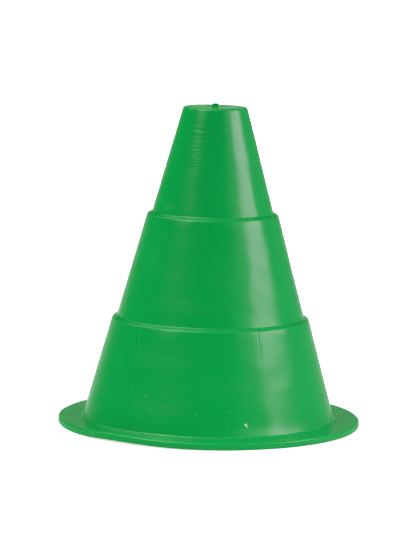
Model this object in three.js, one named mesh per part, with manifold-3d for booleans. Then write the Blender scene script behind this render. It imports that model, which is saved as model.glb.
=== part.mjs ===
// Training cone, 150 mm tall: one injection moulding in soft polyethylene.
// Three tapered tiers stand on a round flange, each tier set in from the one below by a flat ledge.
// The skin has one wall thickness from the top down to the flange, which is open underneath, so that
// cones nest. Ribs under the lower ledge land on the same ledge of the cone below and set the pitch
// of the stack, which keeps the tapered walls from wedging together.
// Millimetres, +Z up. The origin is the centre of the flange's underside, on the ground.

import * as THREE from 'three';
import { mergeVertices } from 'three/addons/utils/BufferGeometryUtils.js';
import Module from 'manifold-3d';

// Flange
const flangeRadius = 71.1;
const flangeThickness = 3.2;
const flangeRimRounding = 0.9;

// Tiers, each height measured from the face that the tier stands on
const lowerTierHeight = 47.9;
const middleTierHeight = 49.2;
const upperTierHeight = 49.7;
const topRadius = 14.95;
const ledgeWidth = 2.1;
const wallDraft = THREE.MathUtils.degToRad(15.35);
const wallThickness = 1.5;

// Roundings, as radii on the outer skin
const topEdgeRounding = 1.3;
const ledgeEdgeRounding = 1;
const ledgeRootRounding = 0.6;
const wallRootRounding = 1.2;
const sharpestInnerCorner = 0.4;

// Gate: the stub of the sprue, in the shallow round land of the gate insert
const gateStubRadius = 1.65;
const gateStubHeight = 1.5;
const gateStubDraft = THREE.MathUtils.degToRad(4);
const gateLandRadius = 4.1;
const gateLandDepth = 0.2;

// Stacking ribs
const ribCount = 5;
const firstRibAzimuth = THREE.MathUtils.degToRad(28);
const ribThickness = 1.2;
const ribDraft = THREE.MathUtils.degToRad(1);
const nestingPitch = 12.2;
const ribClearance = 0.45;

// Facets
const turnSegments = 80;
const landSegments = 40;
const stubSegments = 20;
const chordTolerance = 0.04;

const cone = new THREE.Color(0x10994a);

// Heights of the faces above the ground
const lowerLedge = flangeThickness + lowerTierHeight;
const upperLedge = lowerLedge + middleTierHeight;
const topFace = upperLedge + upperTierHeight;

// A tier's radius where it stands, from its radius at the top
const taper = Math.tan(wallDraft);
const upperFootRadius = topRadius + upperTierHeight * taper;
const middleTopRadius = upperFootRadius + ledgeWidth;
const middleFootRadius = middleTopRadius + middleTierHeight * taper;
const lowerTopRadius = middleFootRadius + ledgeWidth;
const lowerFootRadius = lowerTopRadius + lowerTierHeight * taper;

// From a corner of the outer skin to the same corner of the inner one
const levelWall = wallThickness / Math.cos(wallDraft);
const innerShift = new THREE.Vector2(wallThickness * taper - levelWall, -wallThickness);

const wasm = await Module();
wasm.setup();

// A corner of the profile, at radius and height, rounded to the radius that is given last.
function corner(radius, height, rounding = 0) {
  return { point: new THREE.Vector2(radius, height), rounding };
}

// The same corner on the inner skin. A corner that sticks out of the outer skin is hollow inside, so
// its rounding loses the wall's thickness there, and the other way about at the foot of a tier.
function innerCorner({ point, rounding }, sticksOut) {
  const concentric = rounding + (sticksOut ? -wallThickness : wallThickness);
  const inner = point.clone().add(innerShift);
  return corner(inner.x, inner.y, Math.max(concentric, sharpestInnerCorner));
}

// The points of one rounded corner, between its neighbours. An arc takes at most half of each side.
function roundedCorner(before, { point, rounding }, after) {
  const incoming = point.clone().sub(before.point);
  const outgoing = after.point.clone().sub(point);
  const turn = incoming.angleTo(outgoing);
  if (rounding === 0 || turn < 1e-6) return [point];
  const shorterSide = Math.min(incoming.length(), outgoing.length());
  const tangent = Math.min(rounding * Math.tan(turn / 2), shorterSide / 2);
  const start = point.clone().addScaledVector(incoming.normalize(), -tangent);
  const end = point.clone().addScaledVector(outgoing.normalize(), tangent);
  const arcRadius = tangent / Math.tan(turn / 2);
  const arcStep = 2 * Math.acos(1 - chordTolerance / arcRadius);
  const steps = Math.max(2, Math.ceil(turn / arcStep));
  const toCentre = outgoing.clone().sub(incoming).normalize();
  const centre = point.clone().addScaledVector(toCentre, arcRadius / Math.cos(turn / 2));
  const spoke = start.clone().sub(centre);
  const side = Math.sign(incoming.cross(outgoing));
  const points = [];
  for (let i = 0; i <= steps; i += 1) {
    const swung = spoke.clone().rotateAround(new THREE.Vector2(), (side * turn * i) / steps);
    points.push(swung.add(centre));
  }
  points[steps].copy(end);
  return points;
}

function roundedProfile(corners) {
  const last = corners.length - 1;
  return corners.flatMap((here, i) => {
    if (i === 0 || i === last) return [here.point];
    return roundedCorner(corners[i - 1], here, corners[i + 1]);
  });
}

function solidFrom(geometry) {
  const bare = geometry.clone();
  bare.deleteAttribute('normal');
  bare.deleteAttribute('uv');
  const merged = mergeVertices(bare, 1e-4);
  return new wasm.Manifold(new wasm.Mesh({
    numProp: 3,
    vertProperties: new Float32Array(merged.getAttribute('position').array),
    triVerts: new Uint32Array(merged.getIndex().array),
  }));
}

function geometryFrom(solid) {
  const { vertProperties, triVerts } = solid.getMesh();
  const geometry = new THREE.BufferGeometry();
  geometry.setAttribute('position', new THREE.BufferAttribute(vertProperties, 3));
  geometry.setIndex(new THREE.BufferAttribute(triVerts, 1));
  const flat = geometry.toNonIndexed();
  flat.computeVertexNormals();
  return flat;
}

// A profile turned about the vertical axis. Its outer points run up, so that the faces look outwards.
function turned(points, segments) {
  const geometry = new THREE.LatheGeometry(points, segments);
  geometry.rotateX(Math.PI / 2);
  return geometry;
}

// The moulded skin: the underside of the top, down the inner wall, out round the flange, up the
// outer wall and in over the top face.
function skin() {
  const topEdge = corner(topRadius, topFace, topEdgeRounding);
  const upperRoot = corner(upperFootRadius, upperLedge, ledgeRootRounding);
  const upperEdge = corner(middleTopRadius, upperLedge, ledgeEdgeRounding);
  const middleRoot = corner(middleFootRadius, lowerLedge, ledgeRootRounding);
  const lowerEdge = corner(lowerTopRadius, lowerLedge, ledgeEdgeRounding);
  const lowerRoot = corner(lowerFootRadius, flangeThickness, wallRootRounding);
  const innerMouthRadius = lowerFootRadius + flangeThickness * taper - levelWall;
  return turned(roundedProfile([
    corner(0, topFace - wallThickness),
    innerCorner(topEdge, true),
    innerCorner(upperRoot, false),
    innerCorner(upperEdge, true),
    innerCorner(middleRoot, false),
    innerCorner(lowerEdge, true),
    corner(innerMouthRadius, 0, sharpestInnerCorner),
    corner(flangeRadius, 0, flangeRimRounding),
    corner(flangeRadius, flangeThickness, flangeRimRounding),
    lowerRoot,
    lowerEdge,
    middleRoot,
    upperEdge,
    upperRoot,
    topEdge,
    corner(0, topFace),
  ]), turnSegments);
}

// The round land that the gate insert leaves in the top face.
function gateLand() {
  const cutHeight = 2 * gateLandDepth;
  const geometry = new THREE.CylinderGeometry(gateLandRadius, gateLandRadius, cutHeight, landSegments);
  geometry.rotateX(Math.PI / 2);
  geometry.translate(0, 0, topFace);
  return geometry;
}

// The stub of the sprue, rooted in the top face and broken off level.
function gateStub() {
  const rootDepth = wallThickness / 2;
  const length = rootDepth + gateStubHeight;
  const tipRadius = gateStubRadius - length * Math.tan(gateStubDraft);
  const geometry = new THREE.CylinderGeometry(tipRadius, gateStubRadius, length, stubSegments);
  geometry.rotateX(Math.PI / 2);
  geometry.translate(0, 0, topFace - rootDepth + length / 2);
  return geometry;
}

// One stacking rib, a fin in the corner under the lower ledge. Its inner edge is upright and clears
// the middle tier of the cone below, its foot lands on that cone's ledge, and its other two edges
// are rooted in the middle of the skin. Its sides taper towards the foot, the way the core draws.
function stackingRib(azimuth) {
  const foot = lowerLedge - nestingPitch;
  const root = lowerLedge - wallThickness / 2;
  const innerEdge = middleFootRadius + ribClearance;
  const midWall = (height) => lowerTopRadius + (lowerLedge - height) * taper - levelWall / 2;
  const outline = new THREE.Shape([
    new THREE.Vector2(innerEdge, foot),
    new THREE.Vector2(midWall(foot), foot),
    new THREE.Vector2(midWall(root), root),
    new THREE.Vector2(innerEdge, root),
  ]);
  const geometry = new THREE.ExtrudeGeometry(outline, { depth: ribThickness, bevelEnabled: false });
  geometry.translate(0, 0, -ribThickness / 2);
  geometry.rotateX(Math.PI / 2);
  const position = geometry.getAttribute('position');
  for (let i = 0; i < position.count; i += 1) {
    const narrowing = 1 - (2 * (root - position.getZ(i)) * Math.tan(ribDraft)) / ribThickness;
    position.setY(i, position.getY(i) * narrowing);
  }
  geometry.rotateZ(azimuth - Math.PI / 2);
  return geometry;
}

function coneBody() {
  let body = solidFrom(skin()).subtract(solidFrom(gateLand())).add(solidFrom(gateStub()));
  for (let i = 0; i < ribCount; i += 1) {
    const azimuth = firstRibAzimuth + (i * 2 * Math.PI) / ribCount;
    body = body.add(solidFrom(stackingRib(azimuth)));
  }
  const material = new THREE.MeshStandardMaterial({ color: cone, roughness: 0.42, metalness: 0 });
  const mesh = new THREE.Mesh(geometryFrom(body), material);
  mesh.name = 'cone_body';
  return mesh;
}

const trainingCone = new THREE.Group();
trainingCone.add(coneBody());

export default trainingCone;
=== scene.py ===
import math

import bmesh
import bpy
from mathutils import Matrix, Quaternion, Vector, noise


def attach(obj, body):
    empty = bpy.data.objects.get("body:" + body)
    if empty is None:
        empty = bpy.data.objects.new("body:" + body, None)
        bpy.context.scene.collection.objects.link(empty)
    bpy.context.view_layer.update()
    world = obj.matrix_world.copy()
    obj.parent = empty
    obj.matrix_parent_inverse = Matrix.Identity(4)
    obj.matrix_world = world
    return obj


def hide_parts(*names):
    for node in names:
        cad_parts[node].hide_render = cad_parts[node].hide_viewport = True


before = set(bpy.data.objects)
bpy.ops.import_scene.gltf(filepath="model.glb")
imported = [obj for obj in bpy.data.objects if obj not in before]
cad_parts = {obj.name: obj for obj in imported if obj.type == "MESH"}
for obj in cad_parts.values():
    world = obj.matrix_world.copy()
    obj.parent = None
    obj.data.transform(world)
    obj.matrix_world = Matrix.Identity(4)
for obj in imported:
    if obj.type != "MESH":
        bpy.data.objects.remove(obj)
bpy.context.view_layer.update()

# Training cone, 150 mm tall, moulded in one shot of soft green polyethylene. One piece stands for
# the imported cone_body: the same skin with its roundings drawn out, the sink marks that the
# stacking ribs leave on the lower tier, uneven shrinkage, a few dents, and the slight lean and
# bent flange of a cone that has been used.
# Sizes are millimetres until a mesh is made, and azimuths run from the front, -Y, towards +X.
MM = 0.001
MICROMETRE = 1e-6

# Sizes of the moulding, as in the part's source
FLANGE_RADIUS = 71.1
FLANGE_THICKNESS = 3.2
LOWER_TIER_HEIGHT = 47.9
MIDDLE_TIER_HEIGHT = 49.2
UPPER_TIER_HEIGHT = 49.7
TOP_RADIUS = 14.95
LEDGE_WIDTH = 2.1
WALL_DRAFT = math.radians(15.35)
WALL_THICKNESS = 1.5
GATE_LAND_RADIUS = 4.1
GATE_LAND_DEPTH = 0.2
GATE_STUB_RADIUS = 1.65
GATE_STUB_TIP_RADIUS = 1.49
GATE_STUB_HEIGHT = 1.5
RIB_COUNT = 5
FIRST_RIB_AZIMUTH = 28.0
RIB_THICKNESS = 1.2
RIB_DRAFT = math.radians(1)
RIB_CLEARANCE = 0.45
NESTING_PITCH = 12.2

# Roundings of the outer skin, and the least and the most inside
TOP_EDGE_ROUNDING = 1.3
LEDGE_EDGE_ROUNDING = 1.2
LEDGE_ROOT_ROUNDING = 0.8
WALL_ROOT_ROUNDING = 1.2
FLANGE_RIM_ROUNDING = 0.9
LEAST_ROUNDING = 0.4
MOST_INNER_ROUNDING = 2.1
GATE_LAND_ROUNDING = 0.09
GATE_ROOT_ROUNDING = 0.18
GATE_TIP_ROUNDING = 0.288

# How far a ledge is raised at its root and lowered at its edge
LEDGE_SLOPE = 0.35

# Heights of the faces, and each tier's radius at its top and its foot
TAPER = math.tan(WALL_DRAFT)
LOWER_LEDGE = FLANGE_THICKNESS + LOWER_TIER_HEIGHT
UPPER_LEDGE = LOWER_LEDGE + MIDDLE_TIER_HEIGHT
TOP_FACE = UPPER_LEDGE + UPPER_TIER_HEIGHT
UPPER_FOOT_RADIUS = TOP_RADIUS + UPPER_TIER_HEIGHT * TAPER
MIDDLE_TOP_RADIUS = UPPER_FOOT_RADIUS + LEDGE_WIDTH
MIDDLE_FOOT_RADIUS = MIDDLE_TOP_RADIUS + MIDDLE_TIER_HEIGHT * TAPER
LOWER_TOP_RADIUS = MIDDLE_FOOT_RADIUS + LEDGE_WIDTH
LOWER_FOOT_RADIUS = LOWER_TOP_RADIUS + LOWER_TIER_HEIGHT * TAPER
LEVEL_WALL = WALL_THICKNESS / math.cos(WALL_DRAFT)
RIB_FOOT = LOWER_LEDGE - NESTING_PITCH
RIB_ROOT = LOWER_LEDGE - WALL_THICKNESS / 2
ROOT_TOP = FLANGE_THICKNESS + WALL_ROOT_ROUNDING
FLANGE_CLEARED = FLANGE_THICKNESS + 0.1


def direction(azimuth, elevation=0.0):
    """Unit vector that points that way from the cone, both angles in degrees."""
    turned, raised = math.radians(azimuth), math.radians(elevation)
    level = math.cos(raised)
    return Vector((math.sin(turned) * level, -math.cos(turned) * level, math.sin(raised)))


def smooth_step(value, start, end):
    """Rises from 0 at the start to 1 at the end, level at both."""
    share = min(max((value - start) / (end - start), 0.0), 1.0)
    return share * share * (3 - 2 * share)


def new_object(name, bm):
    mesh = bpy.data.meshes.new(name)
    bm.to_mesh(mesh)
    bm.free()
    made = bpy.data.objects.new(name, mesh)
    bpy.context.scene.collection.objects.link(made)
    return made


# The skin. The section's longest steps outside and inside, how far from its roundings a straight
# run is first cut, how the turn is stepped, finely in the degrees across a rib, and how close
# together two points are one
OUTER_STEP = 2.2
INNER_STEP = 5.0
HOLDING_GAP = 0.25
RIB_SECTOR = 6.0
RIB_SECTOR_STEPS = 20
PLAIN_SECTOR_STEPS = 36
SAME_POINT = 0.002


def inner_corner(radius, height, rounding, sticks_out):
    """The corner of the inner skin behind a corner of the outer one."""
    thickness = -WALL_THICKNESS if sticks_out else WALL_THICKNESS
    inset = WALL_THICKNESS * TAPER - LEVEL_WALL
    concentric = min(max(rounding + thickness, LEAST_ROUNDING), MOST_INNER_ROUNDING)
    return radius + inset, height - WALL_THICKNESS, concentric


def ledge_corner(radius, height, raised, rounding):
    """A ledge's corner, moved along its wall, so that the ledge falls a little outwards."""
    return radius - raised * TAPER, height + raised, rounding


def skin_corners():
    """Radius, height and rounding of the section's corners: from the axis under the top down the
    inner skin, round the flange, up the outer skin and over the gate stub back to the axis."""
    top_edge = (TOP_RADIUS, TOP_FACE, TOP_EDGE_ROUNDING)
    upper_root = ledge_corner(UPPER_FOOT_RADIUS, UPPER_LEDGE, LEDGE_SLOPE, LEDGE_ROOT_ROUNDING)
    upper_edge = ledge_corner(MIDDLE_TOP_RADIUS, UPPER_LEDGE, -LEDGE_SLOPE, LEDGE_EDGE_ROUNDING)
    middle_root = ledge_corner(MIDDLE_FOOT_RADIUS, LOWER_LEDGE, LEDGE_SLOPE, LEDGE_ROOT_ROUNDING)
    lower_edge = ledge_corner(LOWER_TOP_RADIUS, LOWER_LEDGE, -LEDGE_SLOPE, LEDGE_EDGE_ROUNDING)
    mouth_radius = LOWER_FOOT_RADIUS + FLANGE_THICKNESS * TAPER - LEVEL_WALL
    land_floor = TOP_FACE - GATE_LAND_DEPTH
    return [
        (0, TOP_FACE - WALL_THICKNESS, 0),
        inner_corner(*top_edge, True),
        inner_corner(*upper_root, False),
        inner_corner(*upper_edge, True),
        inner_corner(*middle_root, False),
        inner_corner(*lower_edge, True),
        (mouth_radius, 0, LEAST_ROUNDING),
        (FLANGE_RADIUS, 0, FLANGE_RIM_ROUNDING),
        (FLANGE_RADIUS, FLANGE_THICKNESS, FLANGE_RIM_ROUNDING),
        (LOWER_FOOT_RADIUS, FLANGE_THICKNESS, WALL_ROOT_ROUNDING),
        lower_edge,
        middle_root,
        upper_edge,
        upper_root,
        top_edge,
        (GATE_LAND_RADIUS, TOP_FACE, GATE_LAND_ROUNDING),
        (GATE_LAND_RADIUS - GATE_LAND_DEPTH / 2, land_floor, GATE_LAND_ROUNDING),
        (GATE_STUB_RADIUS, land_floor, GATE_ROOT_ROUNDING),
        (GATE_STUB_TIP_RADIUS, TOP_FACE + GATE_STUB_HEIGHT, GATE_TIP_ROUNDING),
        (0, TOP_FACE + GATE_STUB_HEIGHT, 0),
    ]


def round_corner(bm, vertex, before, here, after):
    """Bevels one corner of the outline, a wider one in more segments. The bevel's offset is the
    length of the arc's tangent."""
    incoming = Vector(here[:2]) - Vector(before[:2])
    outgoing = Vector(after[:2]) - Vector(here[:2])
    rounding = here[2]
    tangent = rounding * math.tan(incoming.angle(outgoing) / 2)
    bmesh.ops.bevel(
        bm, geom=[vertex], offset=tangent * MM, offset_type="OFFSET",
        segments=round(4 + 2.5 * rounding), profile=0.5, affect="VERTICES", material=-1)


def outer_radius(height):
    """The outer wall's radius at a height, with no roundings."""
    if height > UPPER_LEDGE + LEDGE_SLOPE:
        return TOP_RADIUS + (TOP_FACE - height) * TAPER
    if height > LOWER_LEDGE + LEDGE_SLOPE:
        return MIDDLE_TOP_RADIUS + (UPPER_LEDGE - height) * TAPER
    return LOWER_TOP_RADIUS + (LOWER_LEDGE - height) * TAPER


def mid_wall(height):
    """The radius at which the middle of the skin is at a height."""
    inset = WALL_THICKNESS * TAPER - LEVEL_WALL
    return outer_radius(height + WALL_THICKNESS / 2) + inset / 2


def on_outer_skin(point):
    """Whether a point of the straight cone, in metres, is on the skin that shows from outside."""
    radius, height = math.hypot(point.x, point.y) / MM, point.z / MM
    if height > TOP_FACE - WALL_THICKNESS / 2:
        return True
    if height > FLANGE_CLEARED:
        return radius > mid_wall(height)
    return radius > LOWER_FOOT_RADIUS and height > FLANGE_THICKNESS / 2


def divide_long_edges(bm):
    """Holds each straight run next to its roundings, and then steps it evenly."""
    for edge in [e for e in bm.edges if e.calc_length() > 4 * HOLDING_GAP * MM]:
        for vertex in edge.verts[:]:
            bmesh.utils.edge_split(edge, vertex, HOLDING_GAP * MM / edge.calc_length())
    for edge in bm.edges[:]:
        middle = (edge.verts[0].co + edge.verts[1].co) / 2
        step = OUTER_STEP if on_outer_skin(middle) else INNER_STEP
        cuts = math.ceil(edge.calc_length() / (step * MM)) - 1
        if cuts > 0:
            bmesh.ops.subdivide_edges(bm, edges=[edge], cuts=cuts)


def spun_skin():
    """One fifth of the skin is turned about the axis, in short steps across its rib and longer ones
    to the next, and then repeated round the cone."""
    bm = bmesh.new()
    corners = skin_corners()
    vertices = [bm.verts.new((radius * MM, 0, height * MM)) for radius, height, _ in corners]
    for one, other in zip(vertices, vertices[1:]):
        bm.edges.new((one, other))
    for i in range(1, len(corners) - 1):
        round_corner(bm, vertices[i], *corners[i - 1:i + 2])
    divide_long_edges(bm)
    start = math.radians(FIRST_RIB_AZIMUTH - RIB_SECTOR / 2 - 90)
    bmesh.ops.rotate(bm, verts=bm.verts, cent=(0, 0, 0), matrix=Matrix.Rotation(start, 3, "Z"))
    pitch = 2 * math.pi / RIB_COUNT
    rib_angle = math.radians(RIB_SECTOR)
    last = bm.verts[:] + bm.edges[:]
    for angle, steps in ((rib_angle, RIB_SECTOR_STEPS), (pitch - rib_angle, PLAIN_SECTOR_STEPS)):
        last = bmesh.ops.spin(
            bm, geom=last, cent=(0, 0, 0), axis=(0, 0, 1), angle=angle, steps=steps)["geom_last"]
    fifth = bm.verts[:] + bm.edges[:] + bm.faces[:]
    for i in range(1, RIB_COUNT):
        copy = bmesh.ops.duplicate(bm, geom=fifth)["geom"]
        verts = [element for element in copy if isinstance(element, bmesh.types.BMVert)]
        turn = Matrix.Rotation(i * pitch, 3, "Z")
        bmesh.ops.rotate(bm, verts=verts, cent=(0, 0, 0), matrix=turn)
    bmesh.ops.remove_doubles(bm, verts=bm.verts, dist=SAME_POINT * MM)
    bmesh.ops.recalc_face_normals(bm, faces=bm.faces)
    return bm


# What cooling did to it. The sink mark over a rib: how deep its line and its dish are and how far
# they spread, how high its lips are and how far off, and how marked it is over each of the ribs
SINK_TOP = LOWER_LEDGE - 1.0
SINK_RANGE = 8.0
SINK_LINE = (0.07, 0.34)
SINK_LIPS = (0.02, 0.75)
SINK_DISH = (0.05, 2.6)
RIB_SINKS = (1.0, 0.75, 0.9, 0.7, 1.15)


def rib_sink(azimuth, height):
    """How far the wall has sunk at a point over a stacking rib, in millimetres: a narrow line with
    raised lips, in a shallow dish."""
    pitch = 360 / RIB_COUNT
    turns = (azimuth - FIRST_RIB_AZIMUTH) / pitch
    nearest = round(turns)
    across = math.radians((turns - nearest) * pitch) * outer_radius(height)
    below = max(RIB_FOOT - height, 0.0)
    off_line = math.hypot(across, below)
    line = SINK_LINE[0] * math.exp(-(off_line / SINK_LINE[1]) ** 2)
    lips = SINK_LIPS[0] * math.exp(-((off_line - SINK_LIPS[1]) / SINK_LINE[1]) ** 2)
    dish = SINK_DISH[0] * math.exp(-(math.hypot(across, below / 2) / SINK_DISH[1]) ** 2)
    fade = 1 - smooth_step(height, SINK_TOP, LOWER_LEDGE)
    return RIB_SINKS[nearest % RIB_COUNT] * (line - lips + dish) * fade


# Shallow dents and bulges of the wall: azimuth and height of the middle, spread across and up, and
# depth, less than nothing for a bulge
DENTS = (
    (20.0, 8.0, 13.0, 11.0, 0.59), (49.0, 9.0, 9.0, 10.0, 0.22),
    (27.0, 25.0, 7.0, 6.0, 0.17), (24.0, 40.0, 4.0, 4.0, 0.04), (30.0, 55.0, 8.0, 8.0, 0.18),
    (-24.0, 45.5, 14.0, 3.0, -0.13), (43.0, 108.0, 5.0, 12.0, -0.2), (38.0, 84.0, 7.0, 9.0, -0.1),
    (37.0, 32.0, 5.0, 4.0, 0.05), (35.0, 45.0, 4.0, 3.0, 0.03))


def dents_at(azimuth, height):
    """How far the placed dents have moved the wall in there, in millimetres."""
    moved = 0.0
    for middle, level, across, up, depth in DENTS:
        aside = math.radians(azimuth - middle) * outer_radius(height) / across
        moved += depth * math.exp(-aside * aside - ((height - level) / up) ** 2)
    return moved


# Uneven shrinkage, as long level waves, wide hollows and small blots: depth in millimetres,
# features to the metre along each axis, and the place in the noise
SHRINKAGE = (
    (0.045, (14, 14, 95), (0, 0, 0)),
    (0.05, (70, 70, 70), (3.1, 0.4, 7.7)),
    (0.08, (150, 150, 150), (1.7, 5.2, 0.9)))


def shrinkage(point):
    """How far uneven shrinkage has moved the skin out at a point in metres, in millimetres."""
    moved = 0.0
    for depth, stretch, start in SHRINKAGE:
        moved += depth * noise.noise(point * Vector(stretch) + Vector(start))
    return moved


# The wall turns in below a ledge: over this height, by this much at the ledge, and along a curve
# of this power. The turn holds up to this many of its heights from where it starts, and dies out
# between these distances from the ledge's edge
SHOULDER_HEIGHT = 3.4
SHOULDER_DROP = 0.22
SHOULDER_CURVE = 1.6
SHOULDER_END = 1.4
SHOULDER_REACH = (0.5, 1.3)


def shoulder(radius, height):
    """How far a wall turns in towards the edge of the ledge above it, in millimetres."""
    for ledge, edge in ((LOWER_LEDGE, LOWER_TOP_RADIUS), (UPPER_LEDGE, MIDDLE_TOP_RADIUS)):
        into = (height - ledge + SHOULDER_HEIGHT) / SHOULDER_HEIGHT
        if 0 < into < SHOULDER_END:
            near_edge = 1 - smooth_step(edge - radius, *SHOULDER_REACH)
            return SHOULDER_DROP * min(into, 1.0) ** SHOULDER_CURVE * near_edge
    return 0.0


# The heights between which the placed dents fade in
DENTS_FADE = (ROOT_TOP - 0.6, ROOT_TOP + 1.4)


def wear_in(bm):
    """Moves the outer skin in and out by what shrinkage, the ribs and knocks did to it."""
    bm.normal_update()
    for vertex in bm.verts:
        if not on_outer_skin(vertex.co):
            continue
        radius, height = math.hypot(vertex.co.x, vertex.co.y) / MM, vertex.co.z / MM
        azimuth = math.degrees(math.atan2(vertex.co.x, -vertex.co.y))
        shift = shrinkage(vertex.co) - shoulder(radius, height)
        if height > FLANGE_CLEARED:
            shift -= dents_at(azimuth, height) * smooth_step(height, *DENTS_FADE)
        if RIB_FOOT - SINK_RANGE < height < LOWER_LEDGE:
            shift -= rib_sink(azimuth, height)
        vertex.co += vertex.normal * shift * MM


# The lean to the right, the further tilt of the tiers above the lower ledge and the tilt forward,
# as slopes
LEAN = 0.005
UPPER_TIER_TILT = 0.003
FORWARD_TILT = 0.018

# The flange, from this radius out, is pressed out in one place and bent up in another, which
# spreads less far to the left than to the right. Azimuths and spreads are in degrees
BENT_FROM = 56.0
WIDE_AZIMUTH = 65.0
WIDE_SPREAD = 45.0
WIDE_BY = 0.6
BENT_AZIMUTH = -36.0
BENT_SPREADS = (15, 21)
BENT_HEIGHT = 0.95


def lean_and_bend(mesh):
    """The cone leans a little to the right and forward, and its flange is bent up at the front left
    and pressed out at the right."""
    for vertex in mesh.vertices:
        point = vertex.co
        azimuth = math.degrees(math.atan2(point.x, -point.y))
        outwards = direction(azimuth)
        radius, height = math.hypot(point.x, point.y) / MM, point.z / MM
        rim = smooth_step(radius, BENT_FROM, FLANGE_RADIUS)
        aside = azimuth - BENT_AZIMUTH
        bend = BENT_HEIGHT * math.exp(-(aside / BENT_SPREADS[aside > 0]) ** 2) * rim
        wider = WIDE_BY * math.exp(-((azimuth - WIDE_AZIMUTH) / WIDE_SPREAD) ** 2) * rim
        tilt_aside = UPPER_TIER_TILT * smooth_step(height, LOWER_LEDGE, UPPER_LEDGE)
        raised = min(height / UPPER_LEDGE, 1.0)
        tilt_forward = FORWARD_TILT * smooth_step(raised, 0, 1)
        smooth_step_area = raised ** 3 - raised ** 4 / 2
        above = max(height - UPPER_LEDGE, 0.0)
        forward = FORWARD_TILT * (UPPER_LEDGE * smooth_step_area + above)
        point.z += bend * MM + tilt_forward * point.y - tilt_aside * point.x
        point.x += LEAN * point.z + wider * MM * outwards.x
        point.y += (wider * outwards.y - forward) * MM


# Stacking ribs

RIB_EDGE_ROUNDING = 0.2
RIB_EDGE_SEGMENTS = 3


def stacking_ribs():
    """Five fins in the corner under the lower ledge, thinner towards the foot."""
    bm = bmesh.new()
    inner_edge = MIDDLE_FOOT_RADIUS + RIB_CLEARANCE
    outline = []
    for radius, height in (
            (inner_edge, RIB_FOOT), (outer_radius(RIB_FOOT) - LEVEL_WALL / 2, RIB_FOOT),
            (outer_radius(RIB_ROOT) - LEVEL_WALL / 2, RIB_ROOT), (inner_edge, RIB_ROOT)):
        outline.append(bm.verts.new((radius * MM, -RIB_THICKNESS / 2 * MM, height * MM)))
    side = bm.faces.new(outline)
    other = bmesh.ops.extrude_face_region(bm, geom=[side])["geom"]
    other = [element for element in other if isinstance(element, bmesh.types.BMVert)]
    bmesh.ops.translate(bm, verts=other, vec=(0, RIB_THICKNESS * MM, 0))
    foot = [vertex for vertex in bm.verts if vertex.co.z < (RIB_FOOT + RIB_ROOT) / 2 * MM]
    narrowing = 1 - 2 * (RIB_ROOT - RIB_FOOT) * math.tan(RIB_DRAFT) / RIB_THICKNESS
    bmesh.ops.scale(bm, verts=foot, vec=(1, narrowing, 1))
    limit = (inner_edge + RIB_EDGE_ROUNDING) * MM
    free = [e for e in bm.edges if all(v.co.x < limit for v in e.verts)]
    bmesh.ops.bevel(
        bm, geom=free, offset=RIB_EDGE_ROUNDING * MM, offset_type="OFFSET",
        segments=RIB_EDGE_SEGMENTS, profile=0.5, affect="EDGES", material=-1)
    start = math.radians(FIRST_RIB_AZIMUTH - 90)
    bmesh.ops.rotate(bm, verts=bm.verts, cent=(0, 0, 0), matrix=Matrix.Rotation(start, 3, "Z"))
    rib = bm.verts[:] + bm.edges[:] + bm.faces[:]
    for i in range(1, RIB_COUNT):
        copy = bmesh.ops.duplicate(bm, geom=rib)["geom"]
        verts = [element for element in copy if isinstance(element, bmesh.types.BMVert)]
        turn = Matrix.Rotation(i * 2 * math.pi / RIB_COUNT, 3, "Z")
        bmesh.ops.rotate(bm, verts=verts, cent=(0, 0, 0), matrix=turn)
    bmesh.ops.recalc_face_normals(bm, faces=bm.faces)
    return bm


def united(body, other):
    """The body's mesh with the other object's solids added, and the other object removed."""
    union = body.modifiers.new("union", "BOOLEAN")
    union.operation = "UNION"
    union.solver = "MANIFOLD"
    union.object = other
    depsgraph = bpy.context.evaluated_depsgraph_get()
    mesh = bpy.data.meshes.new_from_object(body.evaluated_get(depsgraph))
    body.modifiers.clear()
    body.data = mesh
    bpy.data.objects.remove(other)


# Materials

CONE_GREEN = (0.0022, 0.28, 0.05, 1)
SCUFF_GREEN = (0.09, 0.36, 0.14, 1)
# Pale colour of dust and specks, also mixed in as the painted sink highlight and the painted sheen
PALE_DUST_AND_SHEEN = (0.45, 0.52, 0.42, 1)
PLASTIC_IOR = 1.5

# How much a scuff changes the colour and the roughness, and dust or the dull smudges the roughness
SCUFF_PALENESS = 0.35
SCUFF_ROUGHNESS = 0.15
DUST_ROUGHNESS = 0.5

# Specks of dust: cells to the metre, with a speck or none in each, and a speck's radius
DUST_CELLS = 160.0
DUST_SPECK = 0.25

# Coarse polish streaks: where their middle is, how far they spread, and their depth in micrometres
STREAKS_AZIMUTH = -28.0
STREAKS_RADIUS = 20.0
STREAKS_HEIGHT = 135.0
STREAKS_SPREAD = 30.0
STREAKS_DEPTH = 42.0

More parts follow.
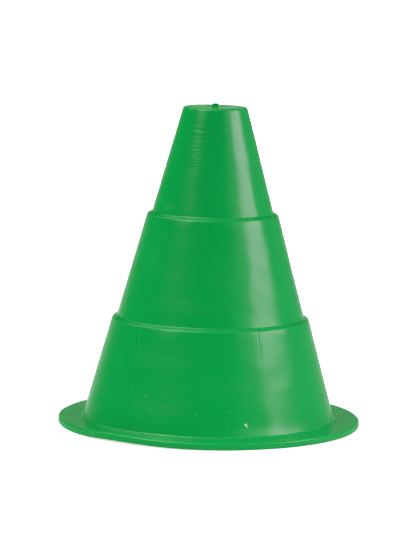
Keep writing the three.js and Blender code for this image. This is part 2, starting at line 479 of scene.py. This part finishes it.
# Pale marks on the wall, specks of dust and a fleck of debris, and last a painted highlight along
# the sink line over the front left rib: azimuth, height, half width and half height, slant, and
# strength. Noise of this height is added to the distance from their middle, and they fade between
# these distances
PALE_RAGGED = 1.2
PALE_EDGE = (1.75, 1.3)
SPECKS_AND_SINK_HIGHLIGHT = (
    (17.4, 9.0, 0.66, 0.64, 0.0, 0.9), (18.0, 8.2, 0.33, 0.66, 0.0, 0.8),
    (-40.8, 21.9, 0.22, 0.22, 0.0, 0.2), (-31.5, 19.9, 0.28, 0.22, 0.0, 0.35),
    (-27.5, 13.9, 0.22, 0.22, 0.0, 0.2), (-5.5, 13.7, 0.25, 0.25, 0.0, 0.3),
    (-35.2, 4.7, 0.25, 0.25, 0.0, 0.35), (-3.5, 3.8, 0.22, 0.28, 0.0, 0.3),
    (10.2, 15.2, 0.25, 0.25, 0.0, 0.3), (9.2, 7.4, 0.22, 0.22, 0.0, 0.2),
    (18.2, 3.8, 0.28, 0.34, 0.0, 0.7), (14.5, 139.7, 0.22, 0.22, 0.0, 0.3),
    # painted highlight: the lit side of the sink line over a rib, drawn as a pale line
    (-41.6, 42.0, 0.4, 8.5, 0.25, 0.022))

# Dull smudges on the wall, rougher than the rest, whose pale colour is a painted sheen: azimuth,
# height, half width and half height, and strength. All are weakened by this much, and fade
# between these distances from their middle
DULL_SHEEN_STRENGTH = 0.021
DULL_SHEEN_EDGE = (1.35, 0.15)
DULL_SHEEN_SMUDGES = (
    (-26.0, 36.5, 17.0, 5.0, 1.0), (-20.0, 42.0, 15.0, 3.0, 0.5), (-26.0, 17.0, 19.0, 7.5, 1.0),
    (5.0, 26.0, 30.0, 4.0, 0.4), (-25.0, 92.0, 5.0, 6.0, 1.0), (-27.0, 73.0, 6.0, 9.0, 1.0),
    (-42.0, 82.0, 9.0, 14.0, 0.5), (-14.0, 61.5, 22.0, 4.0, 1.0), (12.0, 76.0, 9.0, 12.0, 0.6),
    (-46.0, 104.5, 4.0, 3.0, 1.0), (-22.0, 112.0, 3.0, 10.0, 0.9))


def add_node(tree, kind, sockets=None, **settings):
    """A new node. A socket that is given another node's output is linked to it."""
    made = tree.nodes.new(kind)
    for name, value in settings.items():
        setattr(made, name, value)
    for name, value in (sockets or {}).items():
        if isinstance(value, bpy.types.NodeSocket):
            tree.links.new(value, made.inputs[name])
        else:
            made.inputs[name].default_value = value
    return made


def calculated(tree, operation, *values, clamp=False):
    made = add_node(
        tree, "ShaderNodeMath", dict(enumerate(values)), operation=operation, use_clamp=clamp)
    return made.outputs["Value"]


def remapped(tree, value, low, high, to_low=0.0, to_high=1.0):
    """A value that is smoothly taken from one range to another."""
    made = add_node(tree, "ShaderNodeMapRange", {
        "Value": value, "From Min": low, "From Max": high, "To Min": to_low, "To Max": to_high},
        interpolation_type="SMOOTHSTEP")
    return made.outputs["Result"]


def mixed_colours(tree, factor, one, other):
    made = add_node(tree, "ShaderNodeMix", {0: factor, 6: one, 7: other}, data_type="RGBA")
    return made.outputs[2]


def stretched_noise(tree, stretch, detail=2.0, roughness=0.5):
    """Noise on the cone's own coordinates, with that many features to the metre along each axis."""
    place = add_node(tree, "ShaderNodeTexCoord").outputs["Object"]
    scaled = add_node(
        tree, "ShaderNodeVectorMath", {0: place, 1: stretch}, operation="MULTIPLY").outputs[0]
    return add_node(tree, "ShaderNodeTexNoise", {
        "Vector": scaled, "Scale": 1.0, "Detail": detail, "Roughness": roughness}).outputs["Fac"]


def new_group(name, *inputs):
    """An empty node group with those value inputs, and what it is given."""
    group = bpy.data.node_groups.new(name, "ShaderNodeTree")
    for label in inputs:
        group.interface.new_socket(label, in_out="INPUT", socket_type="NodeSocketFloat")
    return group, group.nodes.new("NodeGroupInput").outputs


def finished_group(group, label, value):
    """The group, which puts out that one value."""
    group.interface.new_socket(label, in_out="OUTPUT", socket_type="NodeSocketFloat")
    group.links.new(value, group.nodes.new("NodeGroupOutput").inputs[label])
    return group


def fine_relief_group():
    """Height in micrometres of the polish marks that run round the mould and of a faint peel."""
    group, given = new_group("fine_relief", "Polish Marks", "Peel")
    marks = stretched_noise(group, (45, 45, 1150), 3.0, 0.6)
    patches = remapped(group, stretched_noise(group, (60, 60, 160)), 0.35, 0.6)
    broken = calculated(group, "MULTIPLY", marks, patches)
    peel = stretched_noise(group, (420, 420, 420))
    marked = calculated(group, "MULTIPLY", broken, given["Polish Marks"])
    height = calculated(group, "MULTIPLY_ADD", peel, given["Peel"], marked)
    return finished_group(group, "Height", height)


def streaks_group():
    """Height in micrometres of the coarse polish streaks at the front left of the upper tier."""
    group, _ = new_group("streaks")
    place = add_node(group, "ShaderNodeTexCoord").outputs["Object"]
    middle = direction(STREAKS_AZIMUTH) * STREAKS_RADIUS * MM
    middle.z = STREAKS_HEIGHT * MM
    away = add_node(
        group, "ShaderNodeVectorMath", {0: place, 1: middle}, operation="DISTANCE").outputs["Value"]
    where = remapped(group, away, STREAKS_SPREAD * MM, 0.0)
    lines = remapped(group, stretched_noise(group, (60, 60, 800)), 0.38, 0.62)
    seen = calculated(group, "MULTIPLY", lines, where)
    return finished_group(group, "Height", calculated(group, "MULTIPLY", seen, STREAKS_DEPTH))


def gloss_patches_group():
    """Where the surface has gone dull from handling, from 0 to 1."""
    group, _ = new_group("gloss_patches")
    return finished_group(group, "Dull", stretched_noise(group, (55, 55, 45)))


def scuffs_group():
    """Thin rubbed lines in two directions, broken up into strokes, from 0 to 1."""
    group, given = new_group("scuffs", "Amount")
    strokes = []
    for stretch, low in (((700, 700, 60), 0.7), ((120, 120, 620), 0.71)):
        lines = stretched_noise(group, stretch, roughness=0.6)
        strokes.append(remapped(group, lines, low, low + 0.08))
    both = calculated(group, "MAXIMUM", *strokes)
    where = remapped(group, stretched_noise(group, (38, 38, 38)), 0.5, 0.66)
    rubbed = calculated(group, "MULTIPLY", both, where)
    mask = calculated(group, "MULTIPLY", rubbed, given["Amount"])
    return finished_group(group, "Mask", mask)


def place_on_wall(tree):
    """A shaded point's azimuth in radians and its height in metres."""
    place = add_node(tree, "ShaderNodeTexCoord").outputs["Object"]
    axes = add_node(tree, "ShaderNodeSeparateXYZ", {"Vector": place}).outputs
    backwards = calculated(tree, "MULTIPLY", axes["Y"], -1.0)
    return calculated(tree, "ARCTAN2", axes["X"], backwards), axes["Z"]


def away_from(tree, towards, level, azimuth, height, half_width, half_height, slant=0.0):
    """How far a point of the wall is from the middle of a mark, in half widths and half heights."""
    up = calculated(tree, "MULTIPLY_ADD", level, 1 / MM, -height)
    radius = outer_radius(height)
    across = calculated(tree, "MULTIPLY_ADD", towards, radius, -math.radians(azimuth) * radius)
    across = calculated(tree, "MULTIPLY_ADD", up, slant, across)
    offset = add_node(tree, "ShaderNodeCombineXYZ", {
        "X": calculated(tree, "MULTIPLY", across, 1 / half_width),
        "Y": calculated(tree, "MULTIPLY", up, 1 / half_height)}).outputs[0]
    return add_node(
        tree, "ShaderNodeVectorMath", {0: offset}, operation="LENGTH").outputs["Value"]


def specks_and_sink_highlight_group():
    """The placed specks and the painted highlight along the sink line, from 0 to 1, with ragged
    edges.
    """
    group, _ = new_group("specks_and_sink_highlight")
    towards, level = place_on_wall(group)
    ragged = calculated(group, "MULTIPLY", stretched_noise(group, (900, 900, 900)), PALE_RAGGED)
    mask = 0.0
    for *place, strength in SPECKS_AND_SINK_HIGHLIGHT:
        away = calculated(group, "ADD", away_from(group, towards, level, *place), ragged)
        mark = remapped(group, away, *PALE_EDGE, 0.0, strength)
        mask = calculated(group, "MAXIMUM", mark, mask)
    return finished_group(group, "Mask", mask)


def dull_sheen_group():
    """The placed dull smudges, whose paleness is a painted sheen, from 0 to 1, with soft edges and
    broken into level streaks.
    """
    group, _ = new_group("dull_sheen")
    towards, level = place_on_wall(group)
    streaky = remapped(group, stretched_noise(group, (60, 60, 210), 3.0), 0.3, 0.7, 0.1, 1.0)
    mask = 0.0
    for *place, strength in DULL_SHEEN_SMUDGES:
        away = away_from(group, towards, level, *place)
        smudge = remapped(group, away, *DULL_SHEEN_EDGE, 0.0, strength)
        mask = calculated(group, "MAXIMUM", smudge, mask)
    return finished_group(group, "Mask", calculated(group, "MULTIPLY", mask, streaky))


def dust_group():
    """Separate specks of dust, as 0 or 1, in that share of the cells."""
    group, given = new_group("dust", "Share")
    place = add_node(group, "ShaderNodeTexCoord").outputs["Object"]
    cells = add_node(group, "ShaderNodeTexVoronoi", {"Vector": place, "Scale": DUST_CELLS}).outputs
    inside = calculated(group, "LESS_THAN", cells["Distance"], DUST_SPECK * MM * DUST_CELLS)
    pick = add_node(group, "ShaderNodeSeparateColor", {"Color": cells["Color"]}).outputs["Red"]
    chosen = calculated(group, "LESS_THAN", pick, given["Share"])
    return finished_group(group, "Mask", calculated(group, "MULTIPLY", inside, chosen))


EFFECTS = {
    "relief": fine_relief_group(),
    "gloss": gloss_patches_group(),
    "streaks": streaks_group(),
    "specks_and_sink_highlight": specks_and_sink_highlight_group(),
    "dull_sheen": dull_sheen_group(),
    "scuffs": scuffs_group(),
    "dust": dust_group(),
}


def effect(tree, name, **values):
    """What one of the effects puts out."""
    made = add_node(tree, "ShaderNodeGroup", node_tree=EFFECTS[name])
    for label, value in values.items():
        made.inputs[label.replace("_", " ").title()].default_value = value
    return made.outputs[0]


def cone_plastic(
        name, polished, dulled, marks, peel, scuffs=1.0, dust=0.0, gloss=0.5, on_wall=False):
    """A finish of the same green plastic: its roughness where polished and where dulled, the depth
    of its relief in micrometres, how much it is scuffed, the share of dust, how glossy it is, and
    whether it has the wall's placed specks, its painted sink highlight and its dull smudges with a
    painted sheen."""
    material = bpy.data.materials.new(name)
    material.use_nodes = True
    tree = material.node_tree
    shader = tree.nodes["Principled BSDF"]
    rubbed = effect(tree, "scuffs", amount=scuffs)
    dust_and_sheen = effect(tree, "dust", share=dust)
    if on_wall:
        # painted light: the sink line's highlight and the smudges' sheen are mixed in as pale
        # colour, with the dust specks
        dull_sheen = calculated(tree, "MULTIPLY", effect(tree, "dull_sheen"), DULL_SHEEN_STRENGTH)
        dust_and_sheen = calculated(tree, "MAXIMUM", dust_and_sheen, effect(tree, "specks_and_sink_highlight"))
        dust_and_sheen = calculated(tree, "MAXIMUM", dust_and_sheen, dull_sheen)
    paler = calculated(tree, "MULTIPLY", rubbed, SCUFF_PALENESS)
    colour = mixed_colours(tree, paler, CONE_GREEN, SCUFF_GREEN)
    colour = mixed_colours(tree, dust_and_sheen, colour, PALE_DUST_AND_SHEEN)
    roughness = remapped(tree, effect(tree, "gloss"), 0, 1, polished, dulled)
    roughness = calculated(tree, "MULTIPLY_ADD", rubbed, SCUFF_ROUGHNESS, roughness)
    roughness = calculated(tree, "MULTIPLY_ADD", dust_and_sheen, DUST_ROUGHNESS, roughness, clamp=True)
    relief = effect(tree, "relief", polish_marks=marks, peel=peel)
    height = calculated(tree, "ADD", relief, effect(tree, "streaks"))
    bump = add_node(tree, "ShaderNodeBump", {"Distance": MICROMETRE, "Height": height})
    for socket, value in (
            ("Base Color", colour), ("Roughness", roughness), ("Normal", bump.outputs[0])):
        tree.links.new(value, shader.inputs[socket])
    shader.inputs["IOR"].default_value = PLASTIC_IOR
    shader.inputs["Specular IOR Level"].default_value = gloss
    return material


def finishes():
    return [
        cone_plastic("cone_wall", 0.23, 0.28, marks=2.0, peel=0.1, scuffs=0.0, on_wall=True),
        cone_plastic("cone_flange", 0.28, 0.32, marks=0.0, peel=0.5, scuffs=0.3, dust=0.04),
        cone_plastic("cone_top", 0.22, 0.28, marks=0.0, peel=0.5, scuffs=0.3, dust=0.02),
        cone_plastic("gate_break", 0.6, 0.8, marks=0.0, peel=12.0, gloss=0.1),
        cone_plastic("cone_inside", 0.45, 0.6, marks=6.0, peel=6.0, dust=0.02),
    ]


# The finishes in that order, and how far those of the top, the gate and the flange reach
WALL, FLANGE, TOP, GATE_BREAK, INSIDE = range(5)
TOP_FINISH_FROM = TOP_FACE - 0.5
GATE_FINISH_RADIUS = GATE_STUB_RADIUS + 0.2
FLANGE_FINISH_HEIGHT = ROOT_TOP - 0.2
FLANGE_FINISH_RADIUS = LOWER_FOOT_RADIUS - 0.3
SHARP_ANGLE = math.radians(38)


def finish_of(polygon):
    """Which finish a face of the straight cone takes."""
    centre = polygon.center
    radius, height = math.hypot(centre.x, centre.y) / MM, centre.z / MM
    if height > TOP_FINISH_FROM and radius < GATE_FINISH_RADIUS:
        return GATE_BREAK
    if not on_outer_skin(centre):
        return INSIDE
    if height > TOP_FINISH_FROM:
        return TOP
    if height < FLANGE_FINISH_HEIGHT and radius > FLANGE_FINISH_RADIUS:
        return FLANGE
    return WALL


def moulded_cone():
    bm = spun_skin()
    wear_in(bm)
    cone = new_object("moulded_cone", bm)
    united(cone, new_object("ribs", stacking_ribs()))
    mesh = cone.data
    mesh.materials.clear()
    for material in finishes():
        mesh.materials.append(material)
    for polygon in mesh.polygons:
        polygon.material_index = finish_of(polygon)
        polygon.use_smooth = True
    mesh.set_sharp_from_angle(angle=SHARP_ANGLE)
    lean_and_bend(mesh)
    mesh.update()
    return cone


# The studio. The camera's place and what it looks at are in metres
CAMERA_PLACE = Vector((0, -1.1938, 0.2199))
CAMERA_AIM = Vector((-0.00126, 0, 0.0692))
CAMERA_ROLL = math.radians(1.04)
CAMERA_LENS = 165.4
SENSOR_WIDTH = 36
WHITE = (1, 1, 1, 1)
FLOOR_PAPER = (0.97, 0.97, 0.97, 1)
FLOOR_GLOW = 0.6
FLOOR_RADIUS = 40
FLOOR_DROP = 0.1


def photo_camera():
    data = bpy.data.cameras.new("photo_camera")
    camera = bpy.data.objects.new("photo_camera", data)
    bpy.context.scene.collection.objects.link(camera)
    camera.location = CAMERA_PLACE
    aim = CAMERA_AIM - CAMERA_PLACE
    roll = Quaternion((0, 0, 1), CAMERA_ROLL)
    camera.rotation_mode = "QUATERNION"
    camera.rotation_quaternion = aim.to_track_quat("-Z", "Y") @ roll
    data.sensor_width = SENSOR_WIDTH
    data.lens = CAMERA_LENS
    data.clip_end = 100
    bpy.context.scene.camera = camera


def pale_floor():
    """White paper just under the cone, which the gloss doesn't mirror."""
    bm = bmesh.new()
    bmesh.ops.create_circle(bm, cap_ends=True, radius=FLOOR_RADIUS, segments=96)
    bmesh.ops.translate(bm, verts=bm.verts, vec=(0, 0, -FLOOR_DROP * MM))
    floor = new_object("floor", bm)
    material = bpy.data.materials.new("floor_paper")
    material.use_nodes = True
    shader = material.node_tree.nodes["Principled BSDF"]
    shader.inputs["Base Color"].default_value = FLOOR_PAPER
    shader.inputs["Roughness"].default_value = 0.9
    shader.inputs["Specular IOR Level"].default_value = 0.1
    shader.inputs["Emission Color"].default_value = WHITE
    shader.inputs["Emission Strength"].default_value = FLOOR_GLOW
    floor.data.materials.append(material)
    floor.visible_diffuse = False
    floor.visible_glossy = False
    floor.visible_shadow = False


def softbox(name, azimuth, distance, height, size, radiance, colour):
    """A softbox that faces the cone's axis, with its place and size in metres. A lamp of this kind
    takes four times its area and radiance in watts."""
    data = bpy.data.lights.new(name, "AREA")
    data.shape = "RECTANGLE"
    data.size, data.size_y = size
    data.energy = radiance * 4 * size[0] * size[1]
    data.color = colour
    lamp = bpy.data.objects.new(name, data)
    bpy.context.scene.collection.objects.link(lamp)
    lamp.visible_camera = False
    lamp.location = direction(azimuth) * distance + Vector((0, 0, height))
    lamp.rotation_mode = "QUATERNION"
    lamp.rotation_quaternion = (-direction(azimuth)).to_track_quat("-Z", "Y")
    return lamp


def without_gloss(lamp):
    """Makes the lamp light the plastic's colour and leave no gloss on it."""
    lamp.visible_glossy = False
    lamp.data.cycles.use_multiple_importance_sampling = False


def broad_fill(name, azimuth, elevation, spread, light):
    """Light from a broad part of the room. A face turned to it gets that share of a white room's
    light."""
    data = bpy.data.lights.new(name, "SUN")
    data.angle = math.radians(spread)
    data.energy = light * math.pi
    lamp = bpy.data.objects.new(name, data)
    bpy.context.scene.collection.objects.link(lamp)
    without_gloss(lamp)
    lamp.rotation_mode = "QUATERNION"
    lamp.rotation_quaternion = (-direction(azimuth, elevation)).to_track_quat("-Z", "Y")


# Softboxes: azimuth, distance and height, size, radiance, and colour
KEY_SOFTBOX = (75, 1.0, 0.545, (0.66, 0.5), 4.7, (1, 0.66, 0.97))
SIDE_SOFTBOX = (-54, 1.2, 1.25, (0.5, 1.0), 3.0, (1, 1, 1))
LOW_FILL = (14, 0.24, 0.012, (0.5, 0.03), 3.9, (1, 1, 1))

# Broad fills: azimuth, elevation and spread in degrees, and share of a white room's light
BROAD_FILLS = {
    "left_fill": (-80, 5, 120, 0.985),
    "right_fill": (85, 5, 120, 0.85),
    "back_fill": (180, 40, 110, 0.95),
    "high_fill": (-20, 70, 100, 0.12),
}

# Brightness of the room by the sine of the angle above the horizon: what gloss mirrors in front of
# the cone, and straight behind it
MIRRORED_IN_FRONT = (
    (-1.0, 0.3), (-0.2, 0.8), (-0.1, 0.5), (0.04, 0.03), (0.2, 0.01), (0.6, 0.01), (0.85, 0.3),
    (1.0, 0.4))
MIRRORED_BEHIND = (
    (-1.0, 0.5), (-0.1, 0.7), (0.0, 0.7), (0.06, 0.55), (0.11, 0.42), (0.16, 0.22), (0.2, 0.22),
    (0.26, 0.35), (0.5, 0.05), (1.0, 0.4))
BACKDROP_AZIMUTH = 174.0
BACKDROP_EDGE = (0.92, 0.99)
UNLIT_ROOM = (0.01, 0.01, 0.01, 1)

# Soft-edged bright parts of the room that only gloss shows: azimuth, elevation, radii of the bright
# middle and of the whole, and brightness
MIRRORED_PATCHES = (
    (-95, 58, 10, 26, 1.0), (-54, 60, 12, 26, 2.8), (125, 16, 12, 34, 0.15), (47, 30, 3, 17, 0.9),
    (-128, 45, 6, 17, 1.3), (-150, 4, 9, 14, 0.12), (-167, 0, 6, 14, 0.3))


def by_height(tree, height, stops):
    """Grey between stops that run from -1 to 1. A colour ramp runs from 0 to 1."""
    level = calculated(tree, "MULTIPLY_ADD", height, 0.5, 0.5)
    ramp = add_node(tree, "ShaderNodeValToRGB", {"Fac": level})
    elements = ramp.color_ramp.elements
    elements.remove(elements[1])
    elements[0].position = 0.0
    elements[0].color = (stops[0][1], stops[0][1], stops[0][1], 1)
    for sine, grey in stops[1:]:
        elements.new((sine + 1) / 2).color = (grey, grey, grey, 1)
    return ramp.outputs["Color"]


def patch_of_light(tree, way, azimuth, elevation, middle, whole, brightness):
    """Brightness of a round patch of the room, all angles in degrees."""
    towards = add_node(
        tree, "ShaderNodeVectorMath", {0: way, 1: direction(azimuth, elevation)},
        operation="DOT_PRODUCT").outputs["Value"]
    edge, full = math.cos(math.radians(whole)), math.cos(math.radians(middle))
    return remapped(tree, towards, edge, full, 0.0, brightness)


def studio_light():
    """White behind the cone for the camera, an even fill, and a dark room with a pale backdrop for
    its gloss."""
    world = bpy.data.worlds.new("studio")
    world.use_nodes = True
    world.cycles.sampling_method = "NONE"
    tree = world.node_tree
    way = add_node(tree, "ShaderNodeTexCoord").outputs["Generated"]
    axes = add_node(tree, "ShaderNodeSeparateXYZ", {"Vector": way}).outputs
    towards_backdrop = add_node(
        tree, "ShaderNodeVectorMath", {0: way, 1: direction(BACKDROP_AZIMUTH)},
        operation="DOT_PRODUCT").outputs["Value"]
    behind = remapped(tree, towards_backdrop, *BACKDROP_EDGE)
    front = by_height(tree, axes["Z"], MIRRORED_IN_FRONT)
    back = by_height(tree, axes["Z"], MIRRORED_BEHIND)
    mirrored = mixed_colours(tree, behind, front, back)
    for patch in MIRRORED_PATCHES:
        light = patch_of_light(tree, way, *patch)
        mirrored = add_node(
            tree, "ShaderNodeVectorMath", {0: mirrored, 1: light}, operation="ADD").outputs[0]
    rays = add_node(tree, "ShaderNodeLightPath").outputs
    lighting = mixed_colours(tree, rays["Is Diffuse Ray"], mirrored, UNLIT_ROOM)
    seen = mixed_colours(tree, rays["Is Camera Ray"], lighting, WHITE)
    tree.links.new(seen, tree.nodes["Background"].inputs["Color"])
    bpy.context.scene.world = world
    softbox("key_softbox", *KEY_SOFTBOX)
    softbox("side_softbox", *SIDE_SOFTBOX)
    without_gloss(softbox("low_fill", *LOW_FILL))
    for name, fill in BROAD_FILLS.items():
        broad_fill(name, *fill)


bpy.context.scene.view_settings.view_transform = "Standard"
photo_camera()
pale_floor()
studio_light()
cone = moulded_cone()
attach(cone, "root")
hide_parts("cone_body")
